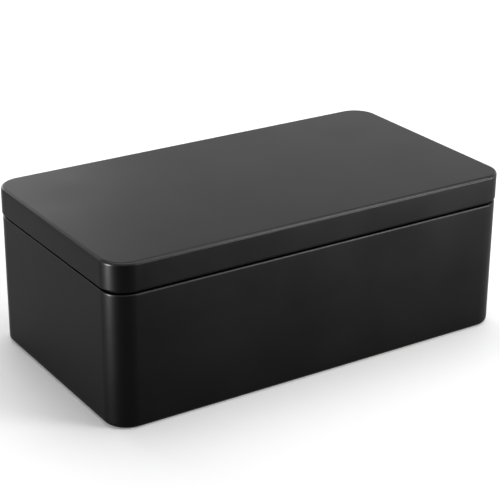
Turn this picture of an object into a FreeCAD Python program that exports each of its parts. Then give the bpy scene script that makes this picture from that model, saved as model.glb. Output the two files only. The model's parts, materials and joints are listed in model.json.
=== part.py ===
import FreeCAD, Part
import collections
import math
import os

import Sketcher
from FreeCAD import Vector

os.makedirs("parts", exist_ok=True)

# A rectangular tin box with a lid that lifts off. Its wall is one strip of tinplate bent round,
# its bottom panel hooks into the wall's rolled foot, and its lid is a pressed cap that slips
# over the wall's set-in neck. The origin is the middle of the foot, X runs along the length,
# the front faces -Y and Z is up. All sizes are in millimetres.

SIZES = {
    # The wall and the closed box
    "body_length": 218.0,  # outside length of the wall
    "body_width": 120.0,  # outside width of the wall
    "corner_radius": 12.0,  # outside radius of the wall's four upright corners
    "box_height": 80.5,  # from the foot to the top of the closed lid
    "tin_gauge": 0.28,  # thickness of the sheet
    # The rolled foot
    "foot_radius": 2.4,  # outside radius where the wall turns in under the box
    "foot_flat": 1.2,  # width of the flat that the box stands on
    "hook_radius": 1.6,  # outside radius where the foot turns up into its hook
    # The shoulder, the neck and its rolled rim
    "shoulder_radius": 0.8,  # outside radius of the shoulder
    "neck_root_radius": 0.4,  # hollow radius where the shoulder turns up into the neck
    "rim_roll_radius": 0.8,  # outside radius of the roll along the neck's rim
    # The lock seam that closes the strip, at the back
    "seam_from_end": 30.0,  # from the right-hand end of the wall to the middle of the seam
    "seam_width": 4.0,  # width of the folded layers inside
    "seam_stand": 0.6,  # how far the folded layers stand in from the wall
    "seam_end_gap": 1.0,  # from the seam's ends to the floor and to the shoulder's bend
    "groove_width": 0.5,  # width of the fine groove outside
    "groove_depth": 0.12,  # depth of that groove
    # The bottom panel
    "lip_height": 0.8,  # straight part of the panel's turned-down lip
    "lip_turn_radius": 0.6,  # outside radius where the floor turns down into the lip
    "floor_margin": 9.0,  # from the wall's outside to the raised middle of the floor
    "floor_corner_radius": 8.0,  # corner radius of the raised middle
    "floor_rise": 1.0,  # height of the raised middle
    "press_radius": 0.2,  # inner radius of the bends round the raised middle
    # The lid
    "lid_height": 13.9,  # from the lid's lower edge to its top
    "lid_overhang": 0.3,  # how far the lid stands out past the wall
    "lid_edge_radius": 1.5,  # outside radius between the lid's top and its skirt
    "lid_roll_radius": 1.0,  # outside radius of the roll along the lid's lower edge
    "lid_gap": 1.0,  # open line between the shoulder and the closed lid
    # Clearances
    "slip_clearance": 0.2,  # between the lid's roll and the neck
    "seat_gap": 0.15,  # between the lid's top plate and the rim below it
    "hook_clearance": 0.05,  # between the sheets in the bottom seam
    "overrun": 0.1,  # how far every cut and join runs past the face that it meets
}

doc = FreeCAD.newDocument("tin_box")
sizes = doc.addObject("Spreadsheet::Sheet", "sizes")
for row, (alias, length) in enumerate(SIZES.items(), start=1):
    sizes.set(f"A{row}", alias.replace("_", " "))
    sizes.set(f"B{row}", str(length))
    sizes.setAlias(f"B{row}", alias)
doc.recompute()

# Faces are measured out from the middle of the box across its width, heights up from the foot.
WALL_FACE = "sizes.body_width / 2"
HOOK_FACE = f"{WALL_FACE} - sizes.foot_radius - sizes.foot_flat - sizes.hook_radius"
LID_FACE = f"{WALL_FACE} + sizes.lid_overhang"
NECK_FACE = f"{LID_FACE} - 2 * sizes.lid_roll_radius - sizes.slip_clearance"
LIP_INSET = "sizes.tin_gauge + sizes.hook_clearance"
LIP_FACE = f"{WALL_FACE} - ({LIP_INSET})"
FLOOR_TOP = "sizes.foot_radius + sizes.lip_height + sizes.lip_turn_radius"
FLOOR_BOTTOM = f"{FLOOR_TOP} - sizes.tin_gauge"
HOOK_TOP = f"{FLOOR_BOTTOM} - sizes.hook_clearance"
RIM_TOP = "sizes.box_height - sizes.tin_gauge - sizes.seat_gap"
LID_FOOT = "sizes.box_height - sizes.lid_height"
SHOULDER_TOP = f"{LID_FOOT} - sizes.lid_gap"
GROUND = "0"

# Headings of a strip of sheet as it is followed through its section
OUT = (1, 0)
IN = (-1, 0)
UP = (0, 1)
DOWN = (0, -1)

# A sketch numbers the ends and the middle of a line or arc upwards, and its own axes downwards
BEGIN, FINISH, MIDDLE = range(1, 4)
X_AXIS, Y_AXIS = range(-1, -3, -1)
ORIGIN = (X_AXIS, BEGIN)

# A straight run of a strip's skin and the bend that ends it
Stretch = collections.namedtuple("Stretch", "left begin end middle radius sweep")


def size(formula):
    """The present value of a formula in the sheet's sizes."""
    return float(sizes.evalExpression(formula))


def new_sketch(body, name, role, lift=None):
    """A sketch on one of the body's own origin planes, lifted off it by a formula."""
    sketch = body.newObject("Sketcher::SketchObject", name)
    plane = next(item for item in body.Origin.OriginFeatures if item.Role == role)
    sketch.AttachmentSupport = [(plane, "")]
    sketch.MapMode = "FlatFace"
    if lift is not None:
        sketch.setExpression("AttachmentOffset.Base.z", lift)
    return sketch


def link(sketch, kind, *places):
    """Hold two pieces of a sketch together, or turn one square to an axis."""
    sketch.addConstraint(Sketcher.Constraint(kind, *places))


def dimension(sketch, name, formula, kind, *places):
    """Add a dimension to a sketch and tie it to the sheet."""
    index = sketch.addConstraint(Sketcher.Constraint(kind, *places, size(formula)))
    sketch.renameConstraint(index, name)
    sketch.setExpression(f"Constraints.{name}", formula)


def add_line(sketch, first, second):
    """Draw a straight line and give its number in the sketch."""
    return sketch.addGeometry(Part.LineSegment(first, second))


def add_arc(sketch, centre, radius, first_angle, last_angle):
    """Draw an anticlockwise arc between two angles in degrees and give its number."""
    circle = Part.Circle(centre, Vector(0, 0, 1), radius)
    arc = Part.ArcOfCircle(circle, math.radians(first_angle), math.radians(last_angle))
    return sketch.addGeometry(arc)


def rounded_outline(body, name, inset, radius, lift=None):
    """Sketch a rounded rectangle that lies inside the wall's outline by an inset.

    It starts at the middle of the back, where every section of sheet is drawn.
    """
    sketch = new_sketch(body, name, "XY_Plane", lift)
    half_length = f"sizes.body_length / 2 - ({inset})"
    half_width = f"sizes.body_width / 2 - ({inset})"
    x = size(half_length)
    y = size(half_width)
    bend = size(radius)
    inner_x = x - bend
    inner_y = y - bend
    back_left = add_line(sketch, Vector(0, y), Vector(-inner_x, y))
    turns = [add_arc(sketch, Vector(-inner_x, inner_y), bend, 90, 180)]
    left = add_line(sketch, Vector(-x, inner_y), Vector(-x, -inner_y))
    turns.append(add_arc(sketch, Vector(-inner_x, -inner_y), bend, 180, 270))
    front = add_line(sketch, Vector(-inner_x, -y), Vector(inner_x, -y))
    turns.append(add_arc(sketch, Vector(inner_x, -inner_y), bend, 270, 360))
    right = add_line(sketch, Vector(x, -inner_y), Vector(x, inner_y))
    turns.append(add_arc(sketch, Vector(inner_x, inner_y), bend, 0, 90))
    back_right = add_line(sketch, Vector(inner_x, y), Vector(0, y))
    loop = [back_left, turns[0], left, turns[1], front, turns[2], right, turns[3], back_right]
    for one, other in zip(loop, loop[1:]):
        link(sketch, "Tangent", one, FINISH, other, BEGIN)
    link(sketch, "Coincident", back_right, FINISH, back_left, BEGIN)
    link(sketch, "PointOnObject", back_left, BEGIN, Y_AXIS)
    for line in (back_left, front, back_right):
        link(sketch, "Horizontal", line)
    for line in (left, right):
        link(sketch, "Vertical", line)
    for turn in turns[1:]:
        link(sketch, "Equal", turns[0], turn)
    dimension(sketch, "radius", radius, "Radius", turns[0])
    dimension(sketch, "left", half_length, "DistanceX", left, BEGIN, *ORIGIN)
    dimension(sketch, "right", half_length, "DistanceX", *ORIGIN, right, BEGIN)
    dimension(sketch, "front", half_width, "DistanceY", front, BEGIN, *ORIGIN)
    dimension(sketch, "back", half_width, "DistanceY", *ORIGIN, back_left, BEGIN)
    return sketch


def at(heading, face, along):
    """A point of a run from where its skin lies and how far along the run it is."""
    return Vector(along, face) if heading[0] else Vector(face, along)


def trace_skin(start, runs, bends, roll):
    """Follow a strip's skin: each straight run with the bend, or the roll, that ends it."""
    roll_radius, roll_middle, quarters = roll
    radii = [size(radius) for radius in (*bends, roll_radius)]
    faces = [size(face) for heading, face in runs]
    begin = at(runs[0][0], faces[0], size(start))
    stretches = []
    for index, (way, face) in enumerate(runs):
        heading = Vector(*way)
        left = Vector(-heading.y, heading.x)
        radius = radii[index]
        if index < len(bends):
            end = at(way, faces[index], faces[index + 1]) - heading * radius
            sweep = 90 * left.dot(Vector(*runs[index + 1][0]))
        else:
            end = at(way, faces[index], size(roll_middle))
            sweep = 90 * quarters
        middle = end + left * math.copysign(radius, sweep)
        stretches.append(Stretch(left, begin, end, middle, radius, sweep))
        begin = middle + heading * radius
    return stretches


def draw_side(sketch, stretches, shift):
    """Draw one side of a strip, shifted to the left of its skin, and give its pieces in order.

    Each piece is its number in the sketch and the ends where it is entered and left.
    """
    pieces = []
    for stretch in stretches:
        across = stretch.left * shift
        line = add_line(sketch, stretch.begin + across, stretch.end + across)
        pieces.append((line, BEGIN, FINISH))
        spoke = stretch.end - stretch.middle
        angle = math.degrees(math.atan2(spoke.y, spoke.x))
        low, high = sorted((angle, angle + stretch.sweep))
        radius = stretch.radius - math.copysign(1, stretch.sweep) * shift
        arc = add_arc(sketch, stretch.middle, radius, low, high)
        pieces.append((arc, BEGIN, FINISH) if stretch.sweep > 0 else (arc, FINISH, BEGIN))
    for (one, _, leave), (other, enter, _) in zip(pieces, pieces[1:]):
        link(sketch, "Tangent", one, leave, other, enter)
    return pieces


def sheet_section(body, name, skin_hand, start, runs, bends, roll):
    """Sketch a bent strip of sheet as it looks cut across, at the middle of the back.

    skin_hand is 1 where the strip's skin lies on the right as it is followed, and -1 where it
    lies on the left. runs gives the heading of each straight run and the place of its skin.
    bends gives the skin's radius between two runs. roll gives the radius of the round end, where
    its middle lies along the last, upright run, and its odd number of quarter turns, to the left
    where positive.
    """
    sketch = new_sketch(body, name, "YZ_Plane")
    stretches = trace_skin(start, runs, bends, roll)
    shift = skin_hand * size("sizes.tin_gauge")
    skin = draw_side(sketch, stretches, 0)
    back = draw_side(sketch, stretches, shift)

    # Square cuts close the strip at its two ends
    head, enter, _ = skin[0]
    back_head, back_enter, _ = back[0]
    tail, _, leave = skin[-1]
    back_tail, _, back_leave = back[-1]
    cut = add_line(sketch, sketch.getPoint(head, enter), sketch.getPoint(back_head, back_enter))
    end_cut = add_line(sketch, sketch.getPoint(tail, leave), sketch.getPoint(back_tail, back_leave))
    link(sketch, "Coincident", cut, BEGIN, head, enter)
    link(sketch, "Coincident", cut, FINISH, back_head, back_enter)
    link(sketch, "Vertical" if runs[0][0][0] else "Horizontal", cut)
    link(sketch, "Coincident", end_cut, BEGIN, tail, leave)
    link(sketch, "Coincident", end_cut, FINISH, back_tail, back_leave)
    link(sketch, "Vertical", tail, leave, tail, MIDDLE)
    link(sketch, "Vertical", back_tail, back_leave, tail, MIDDLE)

    # Each run lies square at its own place, and each bend has one middle for skin and back
    roll_radius, roll_middle, _ = roll
    for index, (way, face) in enumerate(runs):
        line, bend = skin[2 * index][0], skin[2 * index + 1][0]
        back_line, back_bend = back[2 * index][0], back[2 * index + 1][0]
        for side in (line, back_line):
            link(sketch, "Horizontal" if way[0] else "Vertical", side)
        link(sketch, "Coincident", bend, MIDDLE, back_bend, MIDDLE)
        dimension(sketch, f"bend_{index}", (*bends, roll_radius)[index], "Radius", bend)
        if face == GROUND:
            link(sketch, "PointOnObject", line, BEGIN, X_AXIS)
        else:
            across = "DistanceY" if way[0] else "DistanceX"
            dimension(sketch, f"face_{index}", face, across, *ORIGIN, line, BEGIN)
    dimension(sketch, "gauge", "sizes.tin_gauge", "Distance", cut)
    dimension(sketch, "start", start, "DistanceX" if runs[0][0][0] else "DistanceY", *ORIGIN, head, enter)
    dimension(sketch, "roll_middle", roll_middle, "DistanceY", *ORIGIN, tail, MIDDLE)
    return sketch


def roll_round(body, name, section):
    """Carry a section of sheet round the wall's outline."""
    path = rounded_outline(body, f"{name}_path", "0", "sizes.corner_radius")
    doc.recompute()
    pipe = body.newObject("PartDesign::AdditivePipe", name)
    pipe.Profile = (section, [""])
    pipe.Spine = (path, [f"Edge{number}" for number in range(1, len(path.Shape.Edges) + 1)])
    return pipe


def grow(body, kind, name, sketch, height):
    """Pad a sketch upwards, or cut it upwards as a pocket."""
    feature = body.newObject(f"PartDesign::{kind}", name)
    feature.Profile = sketch
    feature.setExpression("Length", height)
    feature.Reversed = kind == "Pocket"
    return feature


def rectangle(body, name, left, right, near, far, lift):
    """Sketch a plain rectangle between two places along X and two along Y."""
    sketch = new_sketch(body, name, "XY_Plane", lift)
    corners = [
        Vector(size(left), size(near)),
        Vector(size(right), size(near)),
        Vector(size(right), size(far)),
        Vector(size(left), size(far)),
    ]
    lines = [add_line(sketch, one, other) for one, other in zip(corners, corners[1:] + corners[:1])]
    for one, other in zip(lines, lines[1:] + lines[:1]):
        link(sketch, "Coincident", one, FINISH, other, BEGIN)
    for line in lines[0::2]:
        link(sketch, "Horizontal", line)
    for line in lines[1::2]:
        link(sketch, "Vertical", line)
    dimension(sketch, "left", left, "DistanceX", *ORIGIN, lines[0], BEGIN)
    dimension(sketch, "right", right, "DistanceX", *ORIGIN, lines[1], BEGIN)
    dimension(sketch, "near", near, "DistanceY", *ORIGIN, lines[0], BEGIN)
    dimension(sketch, "far", far, "DistanceY", *ORIGIN, lines[2], BEGIN)
    return sketch


def press_bend(body, name, height, radius):
    """Round the level edges at a height round the floor's raised middle."""
    doc.recompute()
    base = body.Tip
    level = size(height)
    reach = size("sizes.body_length / 2 - sizes.floor_margin")
    near = size("sizes.tin_gauge / 2")
    edges = []
    for number, edge in enumerate(base.Shape.Edges, start=1):
        box = edge.BoundBox
        if max(abs(box.ZMin - level), abs(box.ZMax - level)) < near and box.XMax < reach + near:
            edges.append(f"Edge{number}")
    fillet = body.newObject("PartDesign::Fillet", name)
    fillet.Base = (base, edges)
    fillet.setExpression("Radius", radius)


def make_body_wall():
    """The strip bent round: hook, foot, wall, shoulder, neck and rolled rim, closed by a lock seam."""
    body = doc.addObject("PartDesign::Body", "body_wall")
    section = sheet_section(
        body,
        "wall_section",
        skin_hand=1,
        start=HOOK_TOP,
        runs=[
            (DOWN, HOOK_FACE),
            (OUT, GROUND),
            (UP, WALL_FACE),
            (IN, SHOULDER_TOP),
            (UP, NECK_FACE),
        ],
        bends=["sizes.hook_radius", "sizes.foot_radius", "sizes.shoulder_radius", "sizes.neck_root_radius"],
        roll=("sizes.rim_roll_radius", f"{RIM_TOP} - sizes.rim_roll_radius", 3),
    )
    roll_round(body, "wall_strip", section)

    # The lock seam's folded layers stand inside the back wall, and a fine groove marks it outside
    seam_middle = "sizes.body_length / 2 - sizes.seam_from_end"
    seam_bottom = f"{FLOOR_TOP} + sizes.seam_end_gap"
    seam_top = f"{SHOULDER_TOP} - sizes.shoulder_radius - sizes.seam_end_gap"
    seam_height = f"{seam_top} - ({seam_bottom})"
    wall_inside = f"{WALL_FACE} - sizes.tin_gauge"
    layers = rectangle(
        body,
        "seam_layers_plan",
        left=f"{seam_middle} - sizes.seam_width / 2",
        right=f"{seam_middle} + sizes.seam_width / 2",
        near=f"{wall_inside} - sizes.seam_stand",
        far=f"{wall_inside} + sizes.overrun",
        lift=seam_bottom,
    )
    grow(body, "Pad", "seam_layers", layers, seam_height)
    groove = rectangle(
        body,
        "seam_groove_plan",
        left=f"{seam_middle} - sizes.groove_width / 2",
        right=f"{seam_middle} + sizes.groove_width / 2",
        near=f"{WALL_FACE} - sizes.groove_depth",
        far=f"{WALL_FACE} + sizes.overrun",
        lift=seam_bottom,
    )
    grow(body, "Pocket", "seam_groove", groove, seam_height)
    return body


def make_bottom_panel():
    """The pressed floor: a raised middle, a border and a lip turned down into the wall's foot."""
    body = doc.addObject("PartDesign::Body", "bottom_panel")
    border = f"{LIP_FACE} - 2 * sizes.lip_turn_radius"
    section = sheet_section(
        body,
        "lip_section",
        skin_hand=-1,
        start=border,
        runs=[(OUT, FLOOR_TOP), (DOWN, LIP_FACE)],
        bends=["sizes.lip_turn_radius"],
        roll=(f"sizes.foot_radius - ({LIP_INSET})", "sizes.foot_radius", -1),
    )
    roll_round(body, "floor_lip", section)
    plate_inset = f"{WALL_FACE} - ({border})"
    plate = rounded_outline(
        body, "floor_plan", plate_inset, f"sizes.corner_radius - ({plate_inset})", FLOOR_BOTTOM
    )
    grow(body, "Pad", "floor_plate", plate, "sizes.tin_gauge")

    # The middle is pressed up: a block on top of the plate, hollowed from below to the sheet's gauge
    raised = rounded_outline(
        body, "raised_plan", "sizes.floor_margin", "sizes.floor_corner_radius", FLOOR_BOTTOM
    )
    grow(body, "Pad", "raised_middle", raised, "sizes.floor_rise + sizes.tin_gauge")
    hollow = rounded_outline(
        body,
        "hollow_plan",
        "sizes.floor_margin + sizes.tin_gauge",
        "sizes.floor_corner_radius - sizes.tin_gauge",
        f"{FLOOR_BOTTOM} - sizes.overrun",
    )
    grow(body, "Pocket", "hollow_below", hollow, "sizes.floor_rise + sizes.overrun")
    outer_radius = "sizes.press_radius + sizes.tin_gauge"
    press_bend(body, "upper_bend", f"{FLOOR_TOP} + sizes.floor_rise", outer_radius)
    press_bend(body, "upper_bend_below", f"{FLOOR_BOTTOM} + sizes.floor_rise", "sizes.press_radius")
    press_bend(body, "lower_bend", FLOOR_TOP, "sizes.press_radius")
    press_bend(body, "lower_bend_below", FLOOR_BOTTOM, outer_radius)
    return body


def make_lid():
    """The pressed cap, drawn from its own lower edge up and set down over the neck."""
    body = doc.addObject("PartDesign::Body", "lid")
    border = f"{LID_FACE} - 2 * sizes.lid_edge_radius"
    section = sheet_section(
        body,
        "skirt_section",
        skin_hand=-1,
        start=border,
        runs=[(OUT, "sizes.lid_height"), (DOWN, LID_FACE)],
        bends=["sizes.lid_edge_radius"],
        roll=("sizes.lid_roll_radius", "sizes.lid_roll_radius", -3),
    )
    roll_round(body, "skirt", section)
    plate_inset = f"{WALL_FACE} - ({border})"
    plate = rounded_outline(
        body,
        "top_plan",
        plate_inset,
        f"sizes.corner_radius - ({plate_inset})",
        "sizes.lid_height - sizes.tin_gauge",
    )
    grow(body, "Pad", "top_plate", plate, "sizes.tin_gauge")
    body.setExpression("Placement.Base.z", LID_FOOT)
    return body


pieces = [make_body_wall(), make_bottom_panel(), make_lid()]
doc.recompute()

# Every object has to be sound before anything is written
for item in doc.Objects:
    if {"Invalid", "Error"} & set(item.State):
        raise RuntimeError(f"{item.Name} failed: {item.State}")
for piece in pieces:
    shape = piece.Shape
    if shape.isNull() or not shape.isValid() or len(shape.Solids) != 1:
        raise RuntimeError(f"{piece.Label} is not one sound solid")
    shape.exportStep(f"parts/{piece.Label}.step")
    print(piece.Label, round(shape.Volume), "cubic mm", shape.BoundBox)
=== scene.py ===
"""Dresses a tin box with a lift-off lid: bent sheet, satin lacquer, bare tinplate and a small studio."""

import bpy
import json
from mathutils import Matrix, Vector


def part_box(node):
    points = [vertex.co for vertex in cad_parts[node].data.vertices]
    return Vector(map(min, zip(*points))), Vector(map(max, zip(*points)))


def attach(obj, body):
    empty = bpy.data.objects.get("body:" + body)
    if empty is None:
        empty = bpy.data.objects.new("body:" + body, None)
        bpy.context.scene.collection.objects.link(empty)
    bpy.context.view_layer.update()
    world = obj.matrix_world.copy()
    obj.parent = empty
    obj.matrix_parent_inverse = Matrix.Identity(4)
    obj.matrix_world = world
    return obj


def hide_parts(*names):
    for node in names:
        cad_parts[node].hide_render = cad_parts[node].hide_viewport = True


bl_info = {
    "name": "Tin Box",
    "version": (1, 0, 0),
    "blender": (4, 5, 0),
    "location": "3D View > Sidebar > Tin Box",
    "description": "Models a lacquered tin with a lift-off lid, and the studio that it stands in",
    "category": "Add Mesh",
}

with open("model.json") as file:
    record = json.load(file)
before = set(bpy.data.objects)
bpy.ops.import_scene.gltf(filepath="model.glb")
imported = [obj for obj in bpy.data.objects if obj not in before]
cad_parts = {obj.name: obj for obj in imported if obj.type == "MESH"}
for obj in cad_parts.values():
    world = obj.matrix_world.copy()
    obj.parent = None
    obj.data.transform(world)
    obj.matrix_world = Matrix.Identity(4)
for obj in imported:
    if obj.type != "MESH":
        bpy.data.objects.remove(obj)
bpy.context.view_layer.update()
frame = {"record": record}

import json
import math
from collections import namedtuple

import bmesh
import bpy
from bpy.props import FloatProperty, FloatVectorProperty, PointerProperty
from mathutils import Matrix, Vector

WALL_LOW, WALL_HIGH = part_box("body_wall")
PANEL_LOW, PANEL_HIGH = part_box("bottom_panel")
LID_LOW, LID_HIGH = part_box("lid")
SLOTS = {entry["slot"]: entry for entry in frame["record"]["materials"]}

# Headings of a strip of sheet, as it is followed through its section at the middle of the back
OUT = Vector((0, 1, 0))
IN = Vector((0, -1, 0))
DOWN = Vector((0, 0, -1))

# Counts of steps round the bends, the folded layers' edges and the floor
QUARTER_STEPS = 10
CORNER_STEPS = 24
FOLD_STEPS = 3
FLOOR_STEPS = 96
QUARTER = math.radians(90)

# Mask along the bends, where a painted highlight lightens the lacquer's colour and a coat polishes it:
# its name, and where it starts and ends below the bend's top, in radii of the bend
HIGHLIGHT_AND_POLISH = "highlight_and_polish"
HIGHLIGHT_AND_POLISH_HIGH = 0.1
HIGHLIGHT_AND_POLISH_LOW = 0.55

# How much the lacquer mirrors, and how its colour goes darker and lighter in patches
LACQUER_IOR = 1.11
LACQUER_SHADES = (0.8, 1.2)

# How much longer than wide the rolled grain's lines are, and how much of them the lacquer shows
GRAIN_LENGTH = 40
GRAIN_SHOWS = 0.25

# Levels of noise at which a cloudy patch starts and is full
CLOUD_LEVELS = (0.3, 0.7)

# Places of the two colours and of the result among a Mix node's sockets
MIX_FIRST, MIX_SECOND, MIX_RESULT = 6, 7, 2

# Places in a piece's list of materials
SKIN, BACK = range(2)

# Lamps of the studio: place and size in metres, power in watts. The strips show only in the gloss,
# and stay below the closed lid's top so that they don't glare in it.
Lamp = namedtuple("Lamp", "place size power gloss_only")
LAMPS = {
    "top softbox": Lamp((0.15, 0.10, 1.10), (1.20, 1.00), 11.0, False),
    "front softbox": Lamp((0.75, -0.85, 0.85), (0.45, 0.45), 7.5, False),
    "back softbox": Lamp((0.0, 1.0, 0.38), (0.80, 0.50), 4.0, False),
    "back right softbox": Lamp((0.75, 0.75, 0.42), (0.90, 0.60), 1.7, False),
    "left strip": Lamp((-0.45, -0.034, 0.04), (0.05, 0.07), 18.0, True),
    "right strip": Lamp((0.41, -0.49, 0.04), (0.60, 0.07), 22.0, True),
}
LAMP_AIM = Vector((0, 0, 0.04))

# Corners closer than this are one, and they are ordered by this many decimals of a metre
MERGE_DISTANCE = 1e-6
ORDER_DIGITS = 6

# Edges that bend more than this stay crisp
SHARP_ANGLE = math.radians(40)


def length(name, description, default):
    """A length that a user can set, in metres."""
    return FloatProperty(name=name, description=description, default=default, unit="LENGTH", precision=5)


def angle(name, description, degrees):
    """An angle that a user can set."""
    return FloatProperty(name=name, description=description, default=math.radians(degrees), subtype="ANGLE")


def share(name, description, default):
    """A share from 0 to 1 that a user can set."""
    return FloatProperty(name=name, description=description, default=default, min=0, max=1, subtype="FACTOR")


def tint(name, description, default):
    """A colour that a user can set."""
    return FloatVectorProperty(
        name=name, description=description, default=default, min=0, max=1, size=3, subtype="COLOR"
    )


class TinSizes(bpy.types.PropertyGroup):
    """Sizes of the tin's three pieces of sheet."""

    wall_length: length("Length", "Outside length of the wall", WALL_HIGH.x - WALL_LOW.x)
    wall_width: length("Width", "Outside width of the wall", WALL_HIGH.y - WALL_LOW.y)
    corner_radius: length("Corner radius", "Outside radius of the upright corners", 0.012)
    gauge: length("Gauge", "Thickness of the sheet", 0.00028)
    foot_radius: length("Foot radius", "Where the wall turns in under the tin", 0.0024)
    foot_flat: length("Foot flat", "Width of the flat that the tin stands on", 0.0012)
    hook_radius: length("Hook radius", "Where the foot turns up into its hook", 0.0016)
    hook_top: length("Hook top", "Height of the hook's edge", 0.00347)
    shoulder_radius: length("Shoulder radius", "Bend from the wall to the shoulder", 0.0008)
    neck_inset: length("Neck inset", "From the wall's outside in to the neck", 0.0019)
    neck_root_radius: length("Neck root radius", "Hollow bend from the shoulder to the neck", 0.0004)
    rim_radius: length("Rim radius", "Roll along the neck's rim", 0.0008)
    lid_gap: length("Lid gap", "Open line between the shoulder and the closed lid", 0.001)
    lid_edge_radius: length("Lid edge radius", "Bend from the lid's top to its skirt", 0.0015)
    lid_roll_radius: length("Lid roll radius", "Roll along the lid's lower edge", 0.001)
    lip_height: length("Lip height", "Straight part of the panel's turned-down lip", 0.0008)
    lip_turn_radius: length("Lip turn radius", "Bend from the floor's border to its lip", 0.0006)
    floor_margin: length("Floor margin", "From the wall's outside to the floor's raised middle", 0.009)
    floor_corner_radius: length("Floor corner radius", "Corners of the raised middle", 0.008)
    press_radius: length("Press radius", "Inner radius of the bends round the raised middle", 0.0002)
    seam_from_end: length("Seam from end", "From the wall's end to the lock seam", 0.03)
    seam_width: length("Seam width", "Width of the lock seam's folded layers", 0.004)
    seam_stand: length("Seam stand", "How far the folded layers stand in from the wall", 0.0006)
    seam_end_gap: length("Seam end gap", "From the seam's ends to the floor and the shoulder", 0.001)
    seam_soft_edge: length("Seam soft edge", "Radius of the folded layers' edges", 0.00025)
    groove_width: length("Groove width", "Width of the seam's line outside", 0.0005)
    groove_depth: length("Groove depth", "Depth of the seam's line outside", 0.00012)


class TinFinish(bpy.types.PropertyGroup):
    """Colours and sheen of the lacquer and of the bare tinplate."""

    lacquer: tint("Lacquer", "Colour of the lacquer", SLOTS["black_lacquer"]["base_color"])
    # Painted highlight: a lighter colour along the middle of the bends, standing in for the line of light
    # that they catch
    painted_bend_highlight: tint("Thin lacquer", "Colour of the lacquer over a bend", (0.012, 0.012, 0.0123))
    lacquer_roughness: share("Lacquer roughness", "Sheen of the lacquer, from gloss to matt", 0.34)
    lacquer_spread: share("Lacquer spread", "How far the lacquer's sheen varies", 0.05)
    bend_roughness: share("Bend roughness", "Sheen of the bends, which hands have polished", 0.2)
    bend_polish: share("Bend polish", "How far the bends are polished", 0.35)
    tinplate: tint("Tinplate", "Colour of the bare tinplate", SLOTS["bare_tinplate"]["base_color"])
    tinplate_dull: tint("Dull tinplate", "Colour of the tinplate where it has dulled", (0.45, 0.455, 0.46))
    tinplate_roughness: share("Tinplate roughness", "Sheen of the bare tinplate", 0.32)
    tinplate_spread: share("Tinplate spread", "How far the tinplate's sheen varies", 0.14)
    peel_size: length("Peel size", "From crest to crest of the lacquer's fine waves", 0.0011)
    peel_depth: length("Peel depth", "Depth of the lacquer's fine waves", 0.000004)
    grain_size: length("Grain size", "From line to line of the sheet's rolled grain", 0.0004)
    grain_depth: length("Grain depth", "Depth of the rolled grain", 0.000003)
    cloud_size: length("Cloud size", "From patch to patch of sheen", 0.04)


class TinStage(bpy.types.PropertyGroup):
    """The camera, the floor and the light."""

    azimuth: angle("Azimuth", "Camera's turn round the tin, from straight in front", -32.8695)
    elevation: angle("Elevation", "Camera's height above the horizon", 23.2337)
    roll: angle("Roll", "Camera's turn about its own line of sight", 0.41)
    distance: length("Distance", "From the camera to the point that it looks at", 0.79502)
    target: FloatVectorProperty(
        name="Target",
        description="Point that the camera looks at",
        default=(-0.00038, 0.001067, 0.041856),
        size=3,
        subtype="TRANSLATION",
        unit="LENGTH",
    )
    lens: FloatProperty(name="Lens", description="Focal length", default=116.043, unit="CAMERA")
    floor_radius: length("Floor radius", "Where the floor has faded into the white surroundings", 1.1)
    floor_near: length("Floor near", "Where the floor starts to fade", 0.3)
    floor_drop: length("Floor drop", "Hair's breadth between the floor and the foot", 0.00002)
    floor_tint: tint("Floor", "Colour of the floor", (0.9, 0.9, 0.9))
    floor_glow: share("Floor glow", "White that the floor adds to what is seen of it", 0.2)
    backdrop: share("Backdrop", "Brightness of the surroundings where they are seen", 1.0)
    fill: share("Fill", "Brightness of the surroundings as a light", 0.05)


class Strip:
    """A strip of sheet followed through its section, with its skin on the right."""

    def __init__(self, face, height, heading):
        self.mesh = bmesh.new()
        # Mask of a painted highlight in the colour, and of the coat's polish, along the bends
        self.highlight_and_polish = self.mesh.verts.layers.float.new(HIGHLIGHT_AND_POLISH)
        self.tip = self.mesh.verts.new((0, face, height))
        self.heading = heading

    def run(self, distance):
        """Go straight on."""
        made = bmesh.ops.extrude_vert_indiv(self.mesh, verts=[self.tip])
        self.tip = made["verts"][0]
        bmesh.ops.translate(self.mesh, verts=[self.tip], vec=self.heading * distance)
        return self

    def run_to(self, place):
        """Go straight on to a height, or to a distance out from the middle."""
        across = Vector(map(abs, self.heading))
        return self.run(abs(place - self.tip.co.dot(across)))

    def turn(self, radius, quarters):
        """Bend by quarter turns, to the left where positive."""
        side = Matrix.Rotation(math.copysign(QUARTER, quarters), 3, "X") @ self.heading
        made = bmesh.ops.spin(
            self.mesh,
            geom=[self.tip],
            cent=self.tip.co + side * radius,
            axis=(1, 0, 0),
            angle=QUARTER * quarters,
            steps=QUARTER_STEPS * abs(quarters),
        )
        self.tip = made["geom_last"][0]
        self.heading = Matrix.Rotation(QUARTER * quarters, 3, "X") @ self.heading
        return self

    def mark_highlight_and_polish(self, top, radius):
        """Mark the middle of the bend below a height for a painted highlight in the colour and for the
        coat's polish.
        """
        for vert in self.mesh.verts:
            if HIGHLIGHT_AND_POLISH_HIGH * radius < top - vert.co.z < HIGHLIGHT_AND_POLISH_LOW * radius:
                vert[self.highlight_and_polish] = 1
        return self


def only(kind, items):
    """The items of one kind of mesh element."""
    return [item for item in items if isinstance(item, kind)]


def each_once(items):
    """The items without repeats, in their own order, so that every run gives the same mesh."""
    return list(dict.fromkeys(items))


def carry_straight(mesh, edges, offset):
    """Draw a section straight on and give its edges at the far end."""
    made = bmesh.ops.extrude_edge_only(mesh, edges=edges)["geom"]
    moved = only(bmesh.types.BMVert, made)
    bmesh.ops.translate(mesh, verts=moved, vec=offset)
    fresh = set(moved)
    return [edge for edge in only(bmesh.types.BMEdge, made) if fresh.issuperset(edge.verts)]


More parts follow.
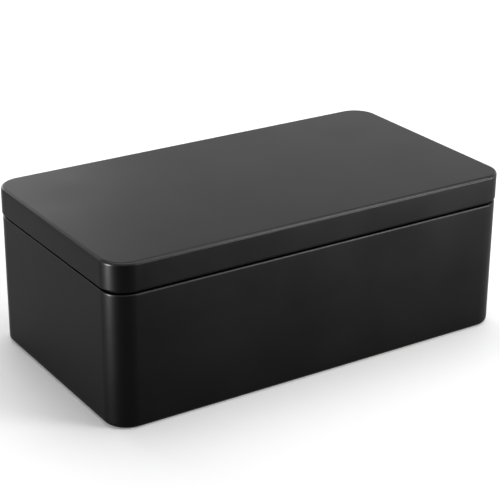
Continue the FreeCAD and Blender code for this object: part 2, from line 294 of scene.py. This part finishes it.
def carry_round(mesh, edges, reach, stops=()):
    """Carry a section from the middle of the back round four corners and back to its start.

    reach is where the corners' centres lie. stops are places on the last straight, where the
    section is set down once more.
    """
    x, y = reach
    corners = [Vector((-x, y, 0)), Vector((-x, -y, 0)), Vector((x, -y, 0)), Vector((x, y, 0))]
    place = Vector((0, y, 0))
    for corner in corners:
        edges = carry_straight(mesh, edges, corner - place)
        ends = each_once(vert for edge in edges for vert in edge.verts)
        made = bmesh.ops.spin(
            mesh, geom=[*edges, *ends], cent=corner, axis=(0, 0, 1), angle=QUARTER, steps=CORNER_STEPS
        )
        edges = only(bmesh.types.BMEdge, made["geom_last"])
        place = corner
    for stop in (*stops, 0):
        edges = carry_straight(mesh, edges, Vector((stop - place.x, 0, 0)))
        place = Vector((stop, y, 0))
    bmesh.ops.remove_doubles(mesh, verts=mesh.verts, dist=MERGE_DISTANCE)


def open_loop(mesh, height, reach):
    """The open edges at a height that lie within a distance of the middle across the width."""
    found = []
    for edge in mesh.edges:
        level = all(abs(vert.co.z - height) < MERGE_DISTANCE for vert in edge.verts)
        if edge.is_boundary and level and all(abs(vert.co.y) < reach for vert in edge.verts):
            found.append(edge)
    return found


def give_thickness(mesh, gauge):
    """Turn a skin into sheet of one gauge: skin outside, back and cut edges behind it."""
    sheet = list(mesh.faces)
    skin = set(sheet)
    bmesh.ops.solidify(mesh, geom=sheet, thickness=gauge)
    for face in mesh.faces:
        face.material_index = SKIN if face in skin else BACK
        face.smooth = True
    mark_sharp(mesh.edges)


def mark_sharp(edges):
    """Keep the cut edges of the sheet crisp under smooth shading."""
    for edge in edges:
        edge.smooth = edge.calc_face_angle(0) < SHARP_ANGLE


def settle_order(mesh):
    """Put corners and faces in one order, which Blender's extrusion varies from run to run."""
    by_place = sorted(mesh.verts, key=lambda vert: vert.co.to_tuple(ORDER_DIGITS))
    for index, vert in enumerate(by_place):
        vert.index = index
    mesh.verts.sort()
    mesh.verts.index_update()
    by_corners = sorted(mesh.faces, key=lambda face: sorted(vert.index for vert in face.verts))
    for index, face in enumerate(by_corners):
        face.index = index
    mesh.faces.sort()
    mesh.faces.index_update()


def add_piece(name, mesh, materials, body):
    """Make an object of a finished mesh that stands for its node and rides on its body."""
    data = bpy.data.meshes.new(name)
    settle_order(mesh)
    mesh.to_mesh(data)
    mesh.free()
    for material in materials:
        data.materials.append(material)
    piece = bpy.data.objects.new(name, data)
    bpy.context.scene.collection.objects.link(piece)
    flat = piece.modifiers.new("flat faces stay flat", "WEIGHTED_NORMAL")
    flat.keep_sharp = True
    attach(piece, body)
    return piece


def wall_reach(sizes):
    """Where the centres of the wall's corners lie."""
    return sizes.wall_length / 2 - sizes.corner_radius, sizes.wall_width / 2 - sizes.corner_radius


def shoulder_top(sizes):
    """Height of the shoulder."""
    return LID_LOW.z - sizes.lid_gap


def floor_top(sizes):
    """Height of the floor's border."""
    return sizes.foot_radius + sizes.lip_height + sizes.lip_turn_radius


def new_group(name, inputs, outputs):
    """An empty node group with its named sockets, its way in and its way out."""
    group = bpy.data.node_groups.new(name, "ShaderNodeTree")
    for socket, kind in inputs.items():
        group.interface.new_socket(socket, in_out="INPUT", socket_type=kind)
    for socket in outputs:
        group.interface.new_socket(socket, in_out="OUTPUT", socket_type="NodeSocketFloat")
    return group, group.nodes.new("NodeGroupInput"), group.nodes.new("NodeGroupOutput")


def rolled_grain():
    """Group: fine lines left in the sheet by the mill's rolls."""
    group = bpy.data.node_groups.get("rolled grain")
    if group:
        return group
    sockets = {"Vector": "NodeSocketVector", "Stretch": "NodeSocketVector"}
    group, given, result = new_group("rolled grain", sockets, ["Grain"])
    stretch = group.nodes.new("ShaderNodeVectorMath")
    stretch.operation = "MULTIPLY"
    group.links.new(given.outputs["Vector"], stretch.inputs[0])
    group.links.new(given.outputs["Stretch"], stretch.inputs[1])
    lines = group.nodes.new("ShaderNodeTexNoise")
    lines.inputs["Scale"].default_value = 1
    lines.inputs["Detail"].default_value = 4
    lines.inputs["Roughness"].default_value = 0.6
    group.links.new(stretch.outputs["Vector"], lines.inputs["Vector"])
    group.links.new(lines.outputs["Fac"], result.inputs["Grain"])
    return group


def clouding():
    """Group: soft patches of sheen, as coating and handling leave them."""
    group = bpy.data.node_groups.get("clouding")
    if group:
        return group
    sockets = {"Vector": "NodeSocketVector", "Scale": "NodeSocketFloat"}
    group, given, result = new_group("clouding", sockets, ["Cloud"])
    patches = group.nodes.new("ShaderNodeTexNoise")
    patches.inputs["Detail"].default_value = 3
    patches.inputs["Roughness"].default_value = 0.55
    group.links.new(given.outputs["Vector"], patches.inputs["Vector"])
    group.links.new(given.outputs["Scale"], patches.inputs["Scale"])
    spread = group.nodes.new("ShaderNodeMapRange")
    spread.inputs["From Min"].default_value, spread.inputs["From Max"].default_value = CLOUD_LEVELS
    group.links.new(patches.outputs["Fac"], spread.inputs["Value"])
    group.links.new(spread.outputs["Result"], result.inputs["Cloud"])
    return group


def place_group(tree, group, vector, **values):
    """Put a group into a material, with its own values."""
    node = tree.nodes.new("ShaderNodeGroup")
    node.node_tree = group
    tree.links.new(vector, node.inputs["Vector"])
    for name, value in values.items():
        node.inputs[name].default_value = value
    return node


def blend_colours(tree, mask, first, second):
    """A colour that goes from the first to the second where the mask does."""
    mix = tree.nodes.new("ShaderNodeMix")
    mix.data_type = "RGBA"
    tree.links.new(mask, mix.inputs["Factor"])
    for socket, colour in zip((mix.inputs[MIX_FIRST], mix.inputs[MIX_SECOND]), (first, second)):
        if isinstance(colour, bpy.types.NodeSocket):
            tree.links.new(colour, socket)
        else:
            socket.default_value = (*colour, 1)
    return mix.outputs[MIX_RESULT]


def spread_value(tree, mask, low, high):
    """A value that goes from low to high where the mask goes from 0 to 1."""
    spread = tree.nodes.new("ShaderNodeMapRange")
    tree.links.new(mask, spread.inputs["Value"])
    for name, value in (("To Min", low), ("To Max", high)):
        if isinstance(value, bpy.types.NodeSocket):
            tree.links.new(value, spread.inputs[name])
        else:
            spread.inputs[name].default_value = value
    return spread.outputs["Result"]


def add_relief(tree, height, depth, under=None):
    """Relief of a depth, laid over what is under it."""
    bump = tree.nodes.new("ShaderNodeBump")
    bump.inputs["Distance"].default_value = depth
    tree.links.new(height, bump.inputs["Height"])
    if under:
        tree.links.new(under, bump.inputs["Normal"])
    return bump.outputs["Normal"]


def where_seen(tree, hidden, seen):
    """A brightness that the eye, reflections and clear things see, and another that lights the rest."""
    path = tree.nodes.new("ShaderNodeLightPath")
    total = path.outputs["Is Camera Ray"]
    for ray in ("Is Glossy Ray", "Is Transmission Ray"):
        either = tree.nodes.new("ShaderNodeMath")
        either.operation = "MAXIMUM"
        tree.links.new(total, either.inputs[0])
        tree.links.new(path.outputs[ray], either.inputs[1])
        total = either.outputs["Value"]
    return spread_value(tree, total, hidden, seen)


def grain_stretch(finish):
    """How the rolled grain is drawn out along the sheet."""
    fine = 1 / finish.grain_size
    return fine / GRAIN_LENGTH, fine, fine


def lacquer_material(finish):
    """Satin lacquer: fine waves, soft patches of sheen, and over the bends a painted highlight in the colour
    and a polishing coat.
    """
    material = bpy.data.materials.get("satin black lacquer")
    if material:
        return material
    material = bpy.data.materials.new("satin black lacquer")
    material.use_nodes = True
    tree = material.node_tree
    shader = tree.nodes["Principled BSDF"]
    shader.inputs["IOR"].default_value = LACQUER_IOR
    place = tree.nodes.new("ShaderNodeTexCoord").outputs["Object"]
    # Mask of the bends' painted highlight and polish
    highlight_and_polish = tree.nodes.new("ShaderNodeAttribute")
    highlight_and_polish.attribute_name = HIGHLIGHT_AND_POLISH
    cloud = place_group(tree, clouding(), place, Scale=1 / finish.cloud_size).outputs["Cloud"]

    dark, light = ([shade * part for part in finish.lacquer] for shade in LACQUER_SHADES)
    faces = blend_colours(tree, cloud, dark, light)
    # Painted highlight: a lighter colour along the middle of the bends
    colour = blend_colours(tree, highlight_and_polish.outputs["Fac"], faces, finish.painted_bend_highlight)
    tree.links.new(colour, shader.inputs["Base Color"])

    half = finish.lacquer_spread / 2
    satin = spread_value(tree, cloud, finish.lacquer_roughness - half, finish.lacquer_roughness + half)
    tree.links.new(satin, shader.inputs["Roughness"])
    polish = spread_value(tree, highlight_and_polish.outputs["Fac"], 0, finish.bend_polish)
    tree.links.new(polish, shader.inputs["Coat Weight"])
    shader.inputs["Coat Roughness"].default_value = finish.bend_roughness

    peel = tree.nodes.new("ShaderNodeTexNoise")
    peel.inputs["Scale"].default_value = 1 / finish.peel_size
    peel.inputs["Detail"].default_value = 2
    tree.links.new(place, peel.inputs["Vector"])
    grain = place_group(tree, rolled_grain(), place, Stretch=grain_stretch(finish)).outputs["Grain"]
    sheet = add_relief(tree, grain, finish.grain_depth * GRAIN_SHOWS)
    normal = add_relief(tree, peel.outputs["Fac"], finish.peel_depth, sheet)
    tree.links.new(normal, shader.inputs["Normal"])
    return material


def tinplate_material(finish):
    """Bare tinplate: rolled grain under a satin coat of tin that has dulled in patches."""
    material = bpy.data.materials.get("bare tinplate")
    if material:
        return material
    material = bpy.data.materials.new("bare tinplate")
    material.use_nodes = True
    tree = material.node_tree
    shader = tree.nodes["Principled BSDF"]
    shader.inputs["Metallic"].default_value = 1
    place = tree.nodes.new("ShaderNodeTexCoord").outputs["Object"]
    grain = place_group(tree, rolled_grain(), place, Stretch=grain_stretch(finish)).outputs["Grain"]
    cloud = place_group(tree, clouding(), place, Scale=1 / finish.cloud_size).outputs["Cloud"]
    colour = blend_colours(tree, cloud, finish.tinplate, finish.tinplate_dull)
    tree.links.new(colour, shader.inputs["Base Color"])
    half = finish.tinplate_spread / 2
    satin = spread_value(tree, grain, finish.tinplate_roughness - half, finish.tinplate_roughness + half)
    tree.links.new(satin, shader.inputs["Roughness"])
    tree.links.new(add_relief(tree, grain, finish.grain_depth), shader.inputs["Normal"])
    return material


def floor_material(stage):
    """Pale floor: keeps the shadow, fades into white further out, and is clear from below."""
    material = bpy.data.materials.new("pale floor")
    material.use_nodes = True
    # The glow is for the eye and for reflections, so it isn't sampled as a lamp
    material.cycles.emission_sampling = "NONE"
    tree = material.node_tree
    tree.nodes.remove(tree.nodes["Principled BSDF"])
    pale = tree.nodes.new("ShaderNodeBsdfDiffuse")
    pale.inputs["Color"].default_value = (*stage.floor_tint, 1)

    away = tree.nodes.new("ShaderNodeVectorMath")
    away.operation = "LENGTH"
    tree.links.new(tree.nodes.new("ShaderNodeTexCoord").outputs["Object"], away.inputs[0])
    fade = tree.nodes.new("ShaderNodeMapRange")
    fade.interpolation_type = "SMOOTHSTEP"
    fade.inputs["From Min"].default_value = stage.floor_near
    fade.inputs["From Max"].default_value = stage.floor_radius
    fade.inputs["To Min"].default_value = stage.floor_glow
    tree.links.new(away.outputs["Value"], fade.inputs["Value"])
    glow = tree.nodes.new("ShaderNodeEmission")
    tree.links.new(where_seen(tree, 0, fade.outputs["Result"]), glow.inputs["Strength"])
    both = tree.nodes.new("ShaderNodeAddShader")
    tree.links.new(pale.outputs["BSDF"], both.inputs[0])
    tree.links.new(glow.outputs["Emission"], both.inputs[1])

    below = tree.nodes.new("ShaderNodeNewGeometry").outputs["Backfacing"]
    clear = tree.nodes.new("ShaderNodeBsdfTransparent").outputs["BSDF"]
    one_way = tree.nodes.new("ShaderNodeMixShader")
    tree.links.new(below, one_way.inputs["Fac"])
    tree.links.new(both.outputs["Shader"], one_way.inputs[1])
    tree.links.new(clear, one_way.inputs[2])
    tree.links.new(one_way.outputs["Shader"], tree.nodes["Material Output"].inputs["Surface"])
    return material


class TINBOX_OT_body_wall(bpy.types.Operator):
    """Bend the strip of the wall round: hook, foot, wall, shoulder, neck and rolled rim"""

    bl_idname = "tinbox.body_wall"
    bl_label = "Body wall"

    def execute(self, context):
        sizes = context.scene.tin_sizes
        finish = context.scene.tin_finish
        face = sizes.wall_width / 2
        hook_face = face - sizes.foot_radius - sizes.foot_flat - sizes.hook_radius
        shoulder = shoulder_top(sizes)
        seam_bottom = floor_top(sizes) + sizes.seam_end_gap
        seam_top = shoulder - sizes.shoulder_radius - sizes.seam_end_gap

        strip = Strip(hook_face, sizes.hook_top, DOWN)
        strip.run_to(sizes.hook_radius).turn(sizes.hook_radius, 1)
        strip.run(sizes.foot_flat).turn(sizes.foot_radius, 1)
        strip.run_to(seam_bottom).run_to(seam_top).run_to(shoulder - sizes.shoulder_radius)
        strip.turn(sizes.shoulder_radius, 1)
        strip.run_to(face - sizes.neck_inset + sizes.neck_root_radius).turn(sizes.neck_root_radius, -1)
        strip.run_to(WALL_HIGH.z - sizes.rim_radius).turn(sizes.rim_radius, 3)

        # Painted highlight and polish along the shoulder's bend
        strip.mark_highlight_and_polish(shoulder, sizes.shoulder_radius)
        mesh = strip.mesh
        seam = sizes.wall_length / 2 - sizes.seam_from_end
        side = sizes.groove_width / 2
        carry_round(mesh, list(mesh.edges), wall_reach(sizes), (seam + side, seam, seam - side))
        groove = [
            vert
            for vert in mesh.verts
            if abs(vert.co.x - seam) < MERGE_DISTANCE
            and abs(vert.co.y - face) < MERGE_DISTANCE
            and seam_bottom - MERGE_DISTANCE < vert.co.z < seam_top + MERGE_DISTANCE
        ]
        bmesh.ops.translate(mesh, verts=groove, vec=IN * sizes.groove_depth)
        give_thickness(mesh, sizes.gauge)
        self.add_folded_layers(mesh, sizes, seam, seam_bottom, seam_top)
        materials = [lacquer_material(finish), tinplate_material(finish)]
        piece = add_piece("tin_wall", mesh, materials, "tin")
        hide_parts("body_wall")
        return {"FINISHED"}

    def add_folded_layers(self, mesh, sizes, seam, bottom, top):
        """Lay the lock seam's folded layers against the inside of the back."""
        outside = sizes.wall_width / 2 - sizes.gauge / 2
        inside = sizes.wall_width / 2 - sizes.gauge - sizes.seam_stand
        made = bmesh.ops.create_cube(mesh, size=1)["verts"]
        for face in each_once(face for vert in made for face in vert.link_faces):
            face.material_index = BACK
            face.smooth = True
        extent = (sizes.seam_width, outside - inside, top - bottom)
        bmesh.ops.scale(mesh, verts=made, vec=extent)
        bmesh.ops.translate(mesh, verts=made, vec=(seam, (outside + inside) / 2, (top + bottom) / 2))
        edges = each_once(edge for vert in made for edge in vert.link_edges)
        bmesh.ops.bevel(
            mesh,
            geom=edges,
            offset=sizes.seam_soft_edge,
            segments=FOLD_STEPS,
            profile=0.5,
            affect="EDGES",
            material=-1,
        )


class TINBOX_OT_bottom_panel(bpy.types.Operator):
    """Press the floor: a lip turned down into the foot, a border and a raised middle"""

    bl_idname = "tinbox.bottom_panel"
    bl_label = "Bottom panel"

    def execute(self, context):
        sizes = context.scene.tin_sizes
        finish = context.scene.tin_finish
        lip_inset = PANEL_LOW.z
        lip_face = sizes.wall_width / 2 - lip_inset
        level = floor_top(sizes)
        lip = Strip(sizes.wall_width / 2 - sizes.foot_radius, lip_inset, OUT)
        lip.turn(sizes.foot_radius - lip_inset, 1).run(sizes.lip_height)
        lip.turn(sizes.lip_turn_radius, 1).run(sizes.lip_turn_radius)
        mesh = lip.mesh
        carry_round(mesh, list(mesh.edges), wall_reach(sizes))

        # The raised middle is a step of its own outline, joined to the lip by the level border
        step_face = sizes.wall_width / 2 - sizes.floor_margin
        crown_radius = sizes.press_radius + sizes.gauge
        step = Strip(step_face + 2 * sizes.press_radius, level, IN)
        step.run(sizes.press_radius).turn(sizes.press_radius, -1)
        step.run_to(PANEL_HIGH.z - crown_radius).turn(crown_radius, 1).run(crown_radius)
        inset = sizes.floor_margin + sizes.floor_corner_radius
        reach = (sizes.wall_length / 2 - inset, sizes.wall_width / 2 - inset)
        carry_round(step.mesh, list(step.mesh.edges), reach)
        pressed = bpy.data.meshes.new("pressed step")
        step.mesh.to_mesh(pressed)
        step.mesh.free()
        mesh.from_mesh(pressed)
        bpy.data.meshes.remove(pressed)
        bmesh.ops.bridge_loops(mesh, edges=open_loop(mesh, level, sizes.wall_width))
        bmesh.ops.edgeloop_fill(mesh, edges=open_loop(mesh, PANEL_HIGH.z, lip_face))
        mesh.normal_update()
        give_thickness(mesh, sizes.gauge)
        bare = tinplate_material(finish)
        piece = add_piece("tin_floor", mesh, [bare, bare], "tin")
        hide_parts("bottom_panel")
        return {"FINISHED"}


class TINBOX_OT_lid(bpy.types.Operator):
    """Draw the lid: a rolled lower edge, a skirt and a flat top"""

    bl_idname = "tinbox.lid"
    bl_label = "Lid"

    def execute(self, context):
        sizes = context.scene.tin_sizes
        finish = context.scene.tin_finish
        roll_top = LID_LOW.z + 2 * sizes.lid_roll_radius
        strip = Strip(LID_HIGH.y - sizes.lid_roll_radius, roll_top, IN)
        strip.turn(sizes.lid_roll_radius, 3)
        strip.run_to(LID_HIGH.z - sizes.lid_edge_radius).turn(sizes.lid_edge_radius, 1)
        # Painted highlight and polish along the lid's top edge
        strip.run(sizes.lid_edge_radius).mark_highlight_and_polish(LID_HIGH.z, sizes.lid_edge_radius)
        mesh = strip.mesh
        carry_round(mesh, list(mesh.edges), wall_reach(sizes))
        bmesh.ops.edgeloop_fill(mesh, edges=open_loop(mesh, LID_HIGH.z, LID_HIGH.y))
        mesh.normal_update()
        give_thickness(mesh, sizes.gauge)
        materials = [lacquer_material(finish), tinplate_material(finish)]
        piece = add_piece("tin_lid", mesh, materials, "lid")
        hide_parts("lid")
        return {"FINISHED"}


class TINBOX_OT_stage(bpy.types.Operator):
    """Set up the pale floor, the soft light and the camera"""

    bl_idname = "tinbox.stage"
    bl_label = "Stage"

    def execute(self, context):
        stage = context.scene.tin_stage
        self.add_floor(context.scene, stage)
        self.add_light(context.scene, stage)
        self.add_camera(context.scene, stage)
        context.scene.view_settings.view_transform = "Standard"
        return {"FINISHED"}

    def add_floor(self, scene, stage):
        """A pale floor that keeps the tin's shadow."""
        mesh = bmesh.new()
        bmesh.ops.create_circle(mesh, cap_ends=True, radius=stage.floor_radius, segments=FLOOR_STEPS)
        bmesh.ops.translate(mesh, verts=mesh.verts, vec=DOWN * stage.floor_drop)
        data = bpy.data.meshes.new("floor")
        mesh.to_mesh(data)
        mesh.free()
        floor = bpy.data.objects.new("floor", data)
        scene.collection.objects.link(floor)
        data.materials.append(floor_material(stage))

    def add_light(self, scene, stage):
        """White surroundings, soft lamps, and strips that show only in the gloss."""
        world = bpy.data.worlds.new("studio")
        world.use_nodes = True
        tree = world.node_tree
        surroundings = tree.nodes["Background"]
        surroundings.inputs["Color"].default_value = (1, 1, 1, 1)
        tree.links.new(where_seen(tree, stage.fill, stage.backdrop), surroundings.inputs["Strength"])
        scene.world = world
        for name, lamp in LAMPS.items():
            data = bpy.data.lights.new(name, "AREA")
            data.shape = "RECTANGLE"
            data.size, data.size_y = lamp.size
            data.energy = lamp.power
            light = bpy.data.objects.new(name, data)
            place = Vector(lamp.place)
            facing = (place - LAMP_AIM).to_track_quat("Z", "Y")
            light.matrix_world = Matrix.LocRotScale(place, facing, None)
            light.visible_camera = False
            light.visible_diffuse = not lamp.gloss_only
            scene.collection.objects.link(light)

    def add_camera(self, scene, stage):
        """Put the camera where the tin is seen from."""
        turn, lift = stage.azimuth, stage.elevation
        back = Vector((math.sin(turn) * math.cos(lift), -math.cos(turn) * math.cos(lift), math.sin(lift)))
        right = Vector((math.cos(turn), math.sin(turn), 0))
        up = back.cross(right)
        rolled = Matrix((right, up, back)).transposed() @ Matrix.Rotation(stage.roll, 3, "Z")
        data = bpy.data.cameras.new("camera")
        data.lens = stage.lens
        camera = bpy.data.objects.new("camera", data)
        camera.matrix_world = Matrix.LocRotScale(Vector(stage.target) + back * stage.distance, rolled, None)
        scene.collection.objects.link(camera)
        scene.camera = camera


class TINBOX_PT_panel(bpy.types.Panel):
    """Lists the tin's pieces and their sizes and colours"""

    bl_idname = "TINBOX_PT_panel"
    bl_label = "Tin Box"
    bl_space_type = "VIEW_3D"
    bl_region_type = "UI"
    bl_category = "Tin Box"

    def draw(self, context):
        layout = self.layout
        for operator in OPERATORS:
            layout.operator(operator.bl_idname)
        for group in (context.scene.tin_sizes, context.scene.tin_finish, context.scene.tin_stage):
            box = layout.box()
            for name in group.__annotations__:
                box.prop(group, name)


OPERATORS = (TINBOX_OT_body_wall, TINBOX_OT_bottom_panel, TINBOX_OT_lid, TINBOX_OT_stage)
GROUPS = {"tin_sizes": TinSizes, "tin_finish": TinFinish, "tin_stage": TinStage}


def register():
    for kind in (*GROUPS.values(), *OPERATORS, TINBOX_PT_panel):
        bpy.utils.register_class(kind)
    for name, kind in GROUPS.items():
        setattr(bpy.types.Scene, name, PointerProperty(type=kind))


def unregister():
    for name in GROUPS:
        delattr(bpy.types.Scene, name)
    for kind in reversed((*GROUPS.values(), *OPERATORS, TINBOX_PT_panel)):
        bpy.utils.unregister_class(kind)


def main():
    register()
    bpy.ops.tinbox.body_wall()
    bpy.ops.tinbox.bottom_panel()
    bpy.ops.tinbox.lid()
    bpy.ops.tinbox.stage()


if __name__ == "__main__":
    main()
